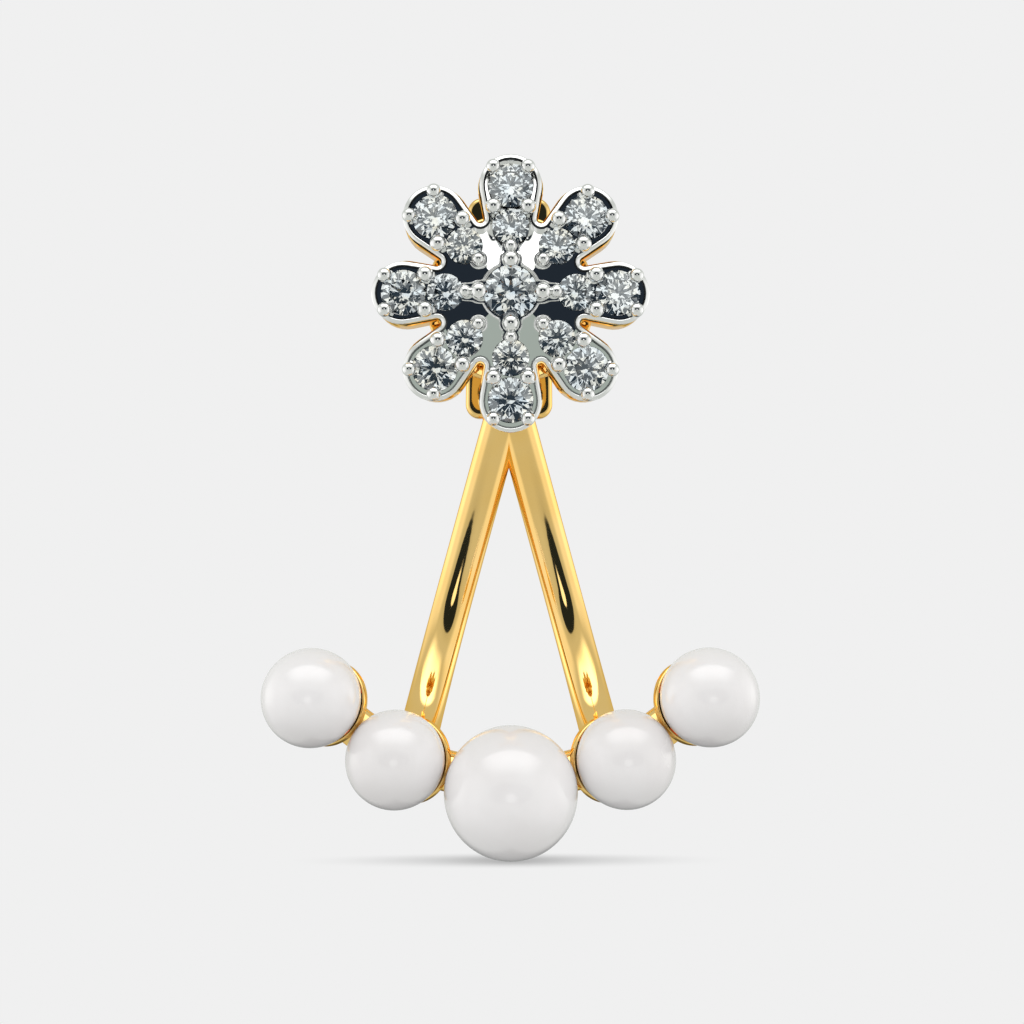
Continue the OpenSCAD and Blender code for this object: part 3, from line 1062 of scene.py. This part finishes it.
class EARRING_OT_gallery(bpy.types.Operator):
    """Builds the openwork behind the flower: the ring, its eight struts and the bar that carries the post"""

    bl_idname = "earring.gallery"
    bl_label = "Gallery"

    def execute(self, context):
        flower = flower_sizes()
        sizes = sizes_of("post")
        front = sizes.gallery_back - sizes.gallery_t
        inner = sizes.gallery_r - sizes.gallery_w
        ring = rounded_ring(inner, sizes.gallery_r, front, sizes.gallery_back, GALLERY_EDGE)
        piece = put(lathe(ring, FINE_SIDES), BACKWARD)
        clear_selection()
        bpy.ops.mesh.primitive_cube_add(size=1, location=(0, front + sizes.gallery_t / 2, 0))
        bar = bpy.context.object
        bar.scale = (2 * STRUT_AT, sizes.gallery_t - BAR_STEP, CROSS_BAR_W)
        apply_place()
        set_mode("EDIT")
        select_all()
        bpy.ops.mesh.bevel(offset=GALLERY_EDGE, segments=3, affect="EDGES")
        set_mode("OBJECT")
        boolean(piece, bar, "UNION")
        foot, head = flower.back_y - LAP, front + LAP
        waist = (foot + front) / 2
        profile = [(0, foot), (STRUT_R, foot), (STRUT_R * STRUT_WAIST, waist), (STRUT_R, head), (0, head)]
        for petal in range(PETALS):
            x, z = petal_place(petal, STRUT_AT)
            strut = put(lathe(profile, STRUT_SIDES), Matrix.Translation((x, 0, z)) @ BACKWARD)
            boolean(piece, strut, "UNION")
        finish_piece(piece, "gallery", STUD, FLOWER_NODE, YELLOW)
        return {"FINISHED"}


# The post: the groove's width, radius and half its flat floor, and the sides and the steps of the end
GROOVE_W = 0.2
GROOVE_R = 0.33
GROOVE_FLAT = 0.05
POST_SIDES = 48
POST_END_STEPS = 10
# The nut: clearance, edges and chamfers, then what comes along it, the grooves counted from the flange
NUT_PLAY = 0.05
NUT_EDGE = 0.12
NUT_CHAMFER = 0.08
FLANGE_T = 0.7
SHOULDER = 0.3
NUT_GROOVES = (0.55, 1.05)
NUT_GROOVE_R = 0.1
NUT_EDGE_STEPS = 5
NUT_GROOVE_STEPS = 6


class EARRING_OT_post_and_nut(bpy.types.Operator):
    """Turns the ear post with its groove and round end, and the plain ear nut"""

    bl_idname = "earring.post_and_nut"
    bl_label = "Post and nut"

    def execute(self, context):
        sizes = sizes_of("post")
        r = sizes.post_r
        foot = sizes.gallery_back - sizes.gallery_t + LAP
        middle = sizes.groove_y + GROOVE_W / 2
        profile = [(0, foot), (r, foot), (r, sizes.groove_y), (GROOVE_R, middle - GROOVE_FLAT),
                   (GROOVE_R, middle + GROOVE_FLAT), (r, sizes.groove_y + GROOVE_W)]
        profile += arc((0, sizes.post_end - r), r, 0, 90, POST_END_STEPS)
        post = put(lathe(profile, POST_SIDES), BACKWARD)
        finish_piece(post, "ear_post", STUD, FLOWER_NODE, YELLOW)

        low, high = sizes.nut_y, sizes.nut_y + sizes.nut_len
        bore = r + NUT_PLAY
        mouth = bore + NUT_CHAMFER
        waist = low + FLANGE_T
        rim = sizes.flange_r - NUT_EDGE
        section = arc((rim, low + NUT_EDGE), NUT_EDGE, -90, 0, NUT_EDGE_STEPS)
        section += arc((rim, waist - NUT_EDGE), NUT_EDGE, 0, 90, NUT_EDGE_STEPS)
        section += [(sizes.nut_r, waist), (sizes.nut_r, waist + SHOULDER)]
        for groove in NUT_GROOVES:
            section += arc((sizes.nut_r, waist + groove), NUT_GROOVE_R, -90, -270, NUT_GROOVE_STEPS)
        section += arc((sizes.nut_r - NUT_EDGE, high - NUT_EDGE), NUT_EDGE, 0, 90, NUT_EDGE_STEPS)
        section += [(mouth, high), (bore, high - NUT_CHAMFER), (bore, low + NUT_CHAMFER), (mouth, low)]
        nut = put(lathe(section + section[:1]), BACKWARD)
        finish_piece(nut, "ear_nut_turned", STUD, "ear_nut", YELLOW)
        return {"FINISHED"}


# The plate: its back edge, the radius that its front is pillowed to, and its steps
BACK_EDGE = 0.08
PILLOW_R = 9
PLATE_RINGS = 10
CORNER_STEPS = 12
FRONT_TURNS = (90, 75, 60, 45, 30, 15, 0)
BACK_TURNS = (0, 30, 60, 90)
# The hole's small chamfer, and how far the cutter goes on past either face
HOLE_LIP = 0.06
CUTTER_REACH = 1


def rounded_edge(radius, turns):
    """Inset and setback round an edge, at angles from its side."""
    return [(radius * (1 - cos(radians(a))), radius * (1 - sin(radians(a)))) for a in turns]


class EARRING_OT_jacket_plate(bpy.types.Operator):
    """Builds the jacket's plate behind the lobe, with its rounded front edge and the post's hole"""

    bl_idname = "earring.jacket_plate"
    bl_label = "Jacket plate"

    def execute(self, context):
        sizes = sizes_of("jacket")
        corner = sizes.corner
        foot_x, head_x = sizes.plate_foot_w / 2 - corner, sizes.plate_head_w / 2 - corner
        foot_z, head_z = sizes.plate_foot_z + corner, sizes.plate_head_z - corner
        corners = ((head_x, head_z, 0), (-head_x, head_z, 90), (-foot_x, foot_z, 180), (foot_x, foot_z, 270))

        def ring(inset):
            points = []
            for x, z, start in corners:
                points += arc((x, z), corner - inset, start, start + 90, CORNER_STEPS)
            return points

        def pillowed(points, y):
            return [(x, y + x * x / (2 * PILLOW_R), z) for x, z in points]

        front, back = sizes.plate_y, sizes.plate_y + sizes.plate_t
        field = ring(sizes.edge)
        rings = [pillowed([(x * k / PLATE_RINGS, z * k / PLATE_RINGS) for x, z in field], front)
                 for k in range(PLATE_RINGS)]
        rings += [pillowed(ring(inset), front + setback)
                  for inset, setback in rounded_edge(sizes.edge, FRONT_TURNS)]
        rings += [[(x, back - setback, z) for x, z in ring(inset)]
                  for inset, setback in rounded_edge(BACK_EDGE, BACK_TURNS)]
        rings.append([(0, back, 0)] * len(field))
        plate = loft(rings)
        before, behind = front - CUTTER_REACH, back + CUTTER_REACH
        wide = sizes.hole_r + CUTTER_REACH + HOLE_LIP
        hole = [(0, before), (wide, before), (sizes.hole_r, front + HOLE_LIP),
                (sizes.hole_r, back - HOLE_LIP), (wide, behind), (0, behind)]
        boolean(plate, put(lathe(hole), BACKWARD), "DIFFERENCE")
        finish_piece(plate, "jacket_plate", JACKET, JACKET_NODE, YELLOW, smooth=25)
        return {"FINISHED"}


# Fillets in section: beside the arm's crown, beside the smile's, and at the back of both
ARM_FILLET = 0.22
SMILE_FILLET = 0.18
BACK_FILLET = 0.1
CREST_STEPS = 10
FILLET_STEPS = 5
BACK_FILLET_STEPS = 4


def band_section(width, thickness, crown_r, fillet):
    """Half round band in section: depth behind its crest and offset to the side, all the way round."""
    offset = width / 2 - fillet
    depth = crown_r - sqrt((crown_r - fillet) ** 2 - offset ** 2)
    lean = degrees(atan2(offset, crown_r - depth))
    half = [(crown_r - r, s) for r, s in arc((0, 0), crown_r, 0, lean, CREST_STEPS)]
    half += [(depth - r, offset + s) for r, s in arc((0, 0), fillet, lean, 90, FILLET_STEPS)[1:]]
    half += [(thickness - BACK_FILLET - r, width / 2 - BACK_FILLET + s)
             for r, s in arc((0, 0), BACK_FILLET, 90, 180, BACK_FILLET_STEPS)]
    return half + [(d, -s) for d, s in reversed(half[1:])]


# The arms start this far above the plate's lower edge
ARM_RISE = 0.4
SWEEP_STEPS = 24
HOOK_STEPS = 44


class EARRING_OT_jacket_arms(bpy.types.Operator):
    """Sweeps the two half round arms that bow back from the plate and hook forward to the smile"""

    bl_idname = "earring.jacket_arms"
    bl_label = "Jacket arms"

    def execute(self, context):
        group, sizes = group_of("jacket"), sizes_of("jacket")
        section = band_section(sizes.arm_w, sizes.arm_t, sizes.crown_r, ARM_FILLET)
        top = (sizes.plate_foot_z + ARM_RISE - sizes.knee_z) / cos(group.splay)
        sweep_turn = asin(top / sizes.sweep_r)
        path = [(sizes.sweep_r, sweep_turn * (1 - k / SWEEP_STEPS)) for k in range(SWEEP_STEPS)]
        path += [(sizes.hook_r, -group.hook_turn * k / HOOK_STEPS) for k in range(HOOK_STEPS + 1)]
        rings = [
            [(s, (radius + d) * cos(turn) - radius, (radius + d) * sin(turn)) for d, s in section]
            for radius, turn in path
        ]
        middle = sizes.arm_t / 2
        place = (
            Matrix.Translation((-sizes.knee_x, sizes.knee_y + middle, sizes.knee_z))
            @ Matrix.Rotation(group.splay, 4, "Y")
            @ Matrix.Rotation(group.yaw, 4, "Z")
            @ Matrix.Translation((0, -middle, 0))
        )
        left = put(loft(rings, capped=True), place)
        finish_piece(copy_of(left), "jacket_arm_left", JACKET, JACKET_NODE, YELLOW, smooth=40)
        right = put(left, Matrix.Scale(-1, 4, (1, 0, 0)))
        finish_piece(right, "jacket_arm_right", JACKET, JACKET_NODE, YELLOW, smooth=40)
        return {"FINISHED"}


SMILE_STEPS = 60


class EARRING_OT_smile(bpy.types.Operator):
    """Sweeps the half round smile that carries the pearls"""

    bl_idname = "earring.smile"
    bl_label = "Smile"

    def execute(self, context):
        group, sizes = group_of("jacket"), sizes_of("jacket")
        section = band_section(sizes.bar_w, sizes.bar_t, sizes.crown_r, SMILE_FILLET)
        rings = []
        for k in range(SMILE_STEPS + 1):
            turn = -pi / 2 + group.bar_turn * (2 * k / SMILE_STEPS - 1)
            out = [(sizes.bar_r + s, sizes.bar_y + d) for d, s in section]
            rings.append([(r * cos(turn), y, sizes.bar_z + r * sin(turn)) for r, y in out])
        smile = loft(rings, capped=True)
        finish_piece(smile, "smile_bar", JACKET, JACKET_NODE, YELLOW, smooth=40)
        return {"FINISHED"}


def pearl_places():
    """Name, diameter, cup share, place and backward direction of every pearl."""
    group, sizes = group_of("pearls"), sizes_of("pearls")
    middle = Vector((0, sizes.big_y, sizes.big_z))
    places = [("pearl_centre", sizes.big_d, group.big_cup, middle, Vector((0, 1, 0)))]
    rows = (("inner", sizes.inner_x, sizes.inner_z, group.inner_dip),
            ("outer", sizes.outer_x, sizes.outer_z, group.outer_dip))
    for row, x, z, dip in rows:
        for word, side in (("left", -1), ("right", 1)):
            back = Vector((-side * sin(group.fan) * cos(dip), cos(group.fan),
                           -sin(group.fan) * sin(dip)))
            centre = Vector((side * x, sizes.small_y, z))
            places.append((f"pearl_{row}_{word}", sizes.small_d, group.small_cup, centre, back))
    return places


def ball_point(radius, slope):
    """A point of a ball's section, at an angle in degrees from its axis."""
    return radius * sin(radians(slope)), radius * cos(radians(slope))


def aimed(centre, back):
    """Puts a turned shape at a pearl's centre, its own +Z looking back along the peg."""
    return Matrix.Translation(centre) @ back.to_track_quat("Z", "Y").to_matrix().to_4x4()


CUP_LIP = 0.05
CUP_STEPS = 24
LIP_OUT_STEPS = 4
LIP_IN_STEPS = 6
# The peg reaches this far in front of the pearl's middle, and the collar this far behind the cup
PEG_FRONT = 0.3
PEG_BACK = 0.55
PEG_CHAMFER = 0.1
COLLAR_R = 0.62


class EARRING_OT_cups(bpy.types.Operator):
    """Turns the gold cup and peg behind each pearl"""

    bl_idname = "earring.cups"
    bl_label = "Pearl cups"

    def execute(self, context):
        sizes = sizes_of("pearls")
        for name, diameter, cup_share, centre, back in pearl_places():
            r = diameter / 2
            inner, outer = r + sizes.cup_gap, r + sizes.cup_gap + sizes.cup_wall
            mouth = r * cup_share
            outer_lip = degrees(asin((mouth - CUP_LIP) / (outer - CUP_LIP)))
            inner_lip = degrees(asin((mouth - CUP_LIP) / (inner + CUP_LIP)))
            collar = degrees(asin(COLLAR_R / outer))
            peg = degrees(asin(sizes.peg_r / inner))
            profile = [(0, outer + PEG_BACK), (COLLAR_R, outer + PEG_BACK)]
            profile += arc((0, 0), outer, 90 - collar, 90 - outer_lip, CUP_STEPS)
            lip_out = ball_point(outer - CUP_LIP, outer_lip)
            profile += arc(lip_out, CUP_LIP, 90 - outer_lip, 0, LIP_OUT_STEPS)[1:]
            lip_in = ball_point(inner + CUP_LIP, inner_lip)
            profile += arc(lip_in, CUP_LIP, 0, -90 - inner_lip, LIP_IN_STEPS)
            profile += arc((0, 0), inner, 90 - inner_lip, 90 - peg, CUP_STEPS)[1:]
            profile += [(sizes.peg_r, PEG_CHAMFER - PEG_FRONT), (sizes.peg_r - PEG_CHAMFER, -PEG_FRONT),
                        (0, -PEG_FRONT)]
            cup = put(lathe(profile, FINE_SIDES), aimed(centre, back))
            finish_piece(cup, name.replace("pearl", "cup"), JACKET, JACKET_NODE, YELLOW)
        return {"FINISHED"}


# The drilled hole goes this far past a pearl's middle, and its mouth is chamfered
HOLE_DEPTH = 0.5
HOLE_EDGE = 0.04
PEARL_STEPS = 72


class EARRING_OT_pearls(bpy.types.Operator):
    """Turns the five pearls, each drilled half through for its peg"""

    bl_idname = "earring.pearls"
    bl_label = "Pearls"

    def execute(self, context):
        sizes = sizes_of("pearls")
        for name, diameter, _, centre, back in pearl_places():
            r = diameter / 2
            mouth = degrees(asin((sizes.hole_r + HOLE_EDGE) / r))
            profile = [(0, -HOLE_DEPTH), (sizes.hole_r, -HOLE_DEPTH),
                       (sizes.hole_r, r * cos(radians(mouth)) - 2 * HOLE_EDGE)]
            profile += arc((0, 0), r, 90 - mouth, -90, PEARL_STEPS)
            pearl = put(lathe(profile, FINE_SIDES), aimed(centre, back))
            finish_piece(pearl, f"{name}_drilled", JACKET, name, "pearl", smooth=60)
        return {"FINISHED"}


# The camera's focal length and sensor in millimetres, and its nearest and farthest sight in metres
FOCAL_LENGTH = 50
SENSOR_WIDTH = 36
CLIP = (0.002, 5)


class EARRING_OT_stage(bpy.types.Operator):
    """Builds the plain pale floor, the soft studio light and the camera"""

    bl_idname = "earring.stage"
    bl_label = "Stage"

    def execute(self, context):
        scene = context.scene
        stage = group_of("stage")
        backdrop = rgba(group_of("finishes").backdrop)
        clear_selection()
        bpy.ops.mesh.primitive_plane_add(size=2 * stage.floor_half, location=(0, 0, stage.floor_z))
        floor = context.object
        floor.name = "pale_floor"
        floor_with_painted_shadow(floor, backdrop)
        studio_light(scene, backdrop)
        bpy.ops.object.camera_add(
            location=(stage.eye_x, stage.eye_y, stage.eye_z), rotation=(pi / 2, 0, -stage.turn)
        )
        camera = context.object
        camera.data.lens = FOCAL_LENGTH
        camera.data.sensor_width = SENSOR_WIDTH
        camera.data.clip_start, camera.data.clip_end = CLIP
        scene.camera = camera
        return {"FINISHED"}


# The floor's painted shadow, in metres: how far what casts it may be, the oval that holds it, and its place
# along Y
SHADOW_REACH = 0.012
SHADOW_HALF = (0.0095, 0.0014)
SHADOW_Y = -0.005
SHADOW_EDGE = (1.0, 0.1)
SHADOW_DEPTH = 0.5
SHADOW_SAMPLES = 16


def oval(across, along, half_width, half_length):
    """Distance from an oval's middle, which is 1 on its edge."""
    across, along = across * (1 / half_width), along * (1 / half_length)
    return (across * across + along * along).math("SQRT")


def floor_with_painted_shadow(floor, backdrop):
    """The floor shows only to the camera, plain and pale, with a thin soft painted shadow under the pearls.
    """
    material = bpy.data.materials.new("pale_floor")
    tree = NodeTree(material)
    settings = {"samples": SHADOW_SAMPLES}
    open_sky = tree.node("ShaderNodeAmbientOcclusion", settings, {"Distance": SHADOW_REACH}, out=1)
    x, y, _ = tree.axes(tree.place())
    under = oval(x, y - SHADOW_Y, *SHADOW_HALF).step(*SHADOW_EDGE)
    # The shadow is painted into the floor's glow, darker inside a fixed oval where the pieces are near
    shade = under * (1 - open_sky) * SHADOW_DEPTH
    tone = tree.mix(shade, backdrop, rgba((0, 0, 0)))
    tree.surface(tree.node("ShaderNodeEmission", None, {"Color": tone}))
    floor.data.materials.append(material)
    for rays in ("diffuse", "glossy", "transmission", "shadow"):
        setattr(floor, f"visible_{rays}", False)


# The softbox on either side and its hot middle, by azimuth from the front and by elevation, in degrees
BOX_AZIMUTH = (55, 120)
BOX_ELEVATION = (-34, 28)
BOX_SOFT = 9
HOT_AZIMUTH = (80, 96)
HOT_ELEVATION = (-12, 12)
# The tent is dark behind, below a height from -1 to 1
BEHIND_AZIMUTH = (140, 165)
BEHIND_HEIGHT = (-0.2, -0.5)
BEHIND_SHADE = 0.8
# Round fields in front: middle's elevation, half width, half height and softness of the edge
OPENING = (9, 38, 18.5, 0.03)
HALO = (9, 38, 18.5, 0.5)
HALO_SHADE = 0.3
LENS_LAMP = (2, 9, 7.5, 0.1)
LOW_FIELD = (-31, 10, 6, 0.1)
# The lamp overhead, by place to the side and to the front in shares of its height
HEAD_SIDE = (1.2, 0.4)
HEAD_BACK = (0.0, 0.1)
HEAD_FRONT = (1.25, 0.35)
LEAST_HEIGHT = 0.01
# Brightness of the studio's parts
TENT = (0.66, 0.68, 0.65)
BOX = (1.02, 1.02, 1.01)
HOT = (1.6, 1.6, 1.56)
DARK = (0.018, 0.025, 0.035)
LOW = (0.40, 0.45, 0.41)
LENS = (1.4, 1.4, 1.38)
HEAD = (2.7, 2.7, 2.7)
# Matt surfaces get an even light, less of the lamp overhead, and shade from below
EVEN = (0.945, 0.94, 0.94)
EVEN_SHARE = 0.8
HEAD_SPARED = 0.85
SHADE = (0.12, 0.12, 0.12)
SHADE_HEIGHT = (-0.5, -1.0)
# What the stones gather and mirror: bright and dark patches, brighter above, with shade in front
SPARKLE = (1.12, 1.18, 1.17)
SPARKLE_DARK = (0.03, 0.045, 0.06)
SPARKLE_SIZE = 2.4
SPARKLE_RISE = 0.17
SPARKLE_EDGE = (0.435, 0.505)
SPARKLE_FRONT = (2, 15, 15, 0.25)
FRONT_SHADE = 0.9


def studio_light(scene, backdrop):
    """A pale tent: a softbox on either side, a lamp overhead, and a dark opening round a lamp in front."""
    world = bpy.data.worlds.new("studio")
    scene.world = world
    tree = NodeTree(world)
    direction = tree.node("ShaderNodeTexCoord", out=0)
    x, y, z = tree.axes(direction)
    azimuth = abs(x.math("ARCTAN2", 0 - y)).math("DEGREES")
    elevation = z.math("ARCSINE").math("DEGREES")
    rays = tree.node("ShaderNodeLightPath")
    camera_ray, diffuse_ray, sharp_ray, clear_ray = tree.outputs_of(rays, (0, 2, 4, 6))

    def field(middle, half_width, half_height, soft):
        """Is 1 inside an oval in front and falls to 0 across its edge."""
        return oval(azimuth, elevation - middle, half_width, half_height).step(1 + soft, 1 - soft)

    box = azimuth.within(*BOX_AZIMUTH, BOX_SOFT) * elevation.within(*BOX_ELEVATION, BOX_SOFT)
    height = z.math("MAXIMUM", LEAST_HEIGHT)
    aside, ahead = (abs(x).math("DIVIDE", height), (0 - y).math("DIVIDE", height))
    head = aside.step(*HEAD_SIDE) * ahead.step(*HEAD_BACK) * ahead.step(*HEAD_FRONT)
    patches = tree.noise(SPARKLE_SIZE, detail=1.0, vector=direction) + z * SPARKLE_RISE
    sparkle = tree.mix(patches.step(*SPARKLE_EDGE), rgba(SPARKLE_DARK), rgba(SPARKLE))
    sparkle = tree.mix(field(*SPARKLE_FRONT) * FRONT_SHADE, sparkle, rgba(SPARKLE_DARK))
    tone = rgba(TENT)
    for where, light in (
        (azimuth.step(*BEHIND_AZIMUTH) * z.step(*BEHIND_HEIGHT) * BEHIND_SHADE, rgba(DARK)),
        (box, rgba(BOX)),
        (box * azimuth.step(*HOT_AZIMUTH) * elevation.within(*HOT_ELEVATION, BOX_SOFT), rgba(HOT)),
        (field(*HALO) * HALO_SHADE, rgba(DARK)),
        (field(*LOW_FIELD), rgba(LOW)),
        (field(*OPENING), rgba(DARK)),
        (field(*LENS_LAMP), rgba(LENS)),
        (head * (1 - diffuse_ray * HEAD_SPARED), rgba(HEAD)),
        (clear_ray.math("MAXIMUM", sharp_ray), sparkle),
        (diffuse_ray * EVEN_SHARE, rgba(EVEN)),
        (diffuse_ray * z.step(*SHADE_HEIGHT), rgba(SHADE)),
        (camera_ray, backdrop),
    ):
        tone = tree.mix(where, tone, light)
    glow = tree.node("ShaderNodeBackground", None, {"Color": tone})
    tree.node("ShaderNodeOutputWorld", None, {"Surface": glow})
    scene.view_settings.view_transform = "Standard"


PIECE_OPERATORS = (
    EARRING_OT_flower_face,
    EARRING_OT_flower_back,
    EARRING_OT_ridges,
    EARRING_OT_beads,
    EARRING_OT_brilliants,
    EARRING_OT_gallery,
    EARRING_OT_post_and_nut,
    EARRING_OT_jacket_plate,
    EARRING_OT_jacket_arms,
    EARRING_OT_smile,
    EARRING_OT_cups,
    EARRING_OT_pearls,
    EARRING_OT_stage,
)
SIZE_GROUPS = {
    "earring_flower": FlowerSizes,
    "earring_stones": StoneSizes,
    "earring_post": PostSizes,
    "earring_jacket": JacketSizes,
    "earring_pearls": PearlSizes,
    "earring_finishes": Finishes,
    "earring_stage": StageSizes,
}


class EARRING_PT_panel(bpy.types.Panel):
    bl_label = "Earring"
    bl_idname = "EARRING_PT_panel"
    bl_space_type = "VIEW_3D"
    bl_region_type = "UI"
    bl_category = "Earring"

    def draw(self, context):
        for operator in PIECE_OPERATORS:
            self.layout.operator(operator.bl_idname)
        for name, kind in SIZE_GROUPS.items():
            box = self.layout.box()
            group = getattr(context.scene, name)
            for field in kind.__annotations__:
                box.prop(group, field)


def register():
    for kind in (*SIZE_GROUPS.values(), *PIECE_OPERATORS, EARRING_PT_panel):
        bpy.utils.register_class(kind)
    for name, kind in SIZE_GROUPS.items():
        setattr(bpy.types.Scene, name, bpy.props.PointerProperty(type=kind))


def unregister():
    for name in SIZE_GROUPS:
        delattr(bpy.types.Scene, name)
    for kind in (EARRING_PT_panel, *PIECE_OPERATORS, *SIZE_GROUPS.values()):
        bpy.utils.unregister_class(kind)


def main():
    register()
    for operator in PIECE_OPERATORS:
        getattr(bpy.ops.earring, operator.bl_idname.partition(".")[2])()


if __name__ == "__main__":
    main()
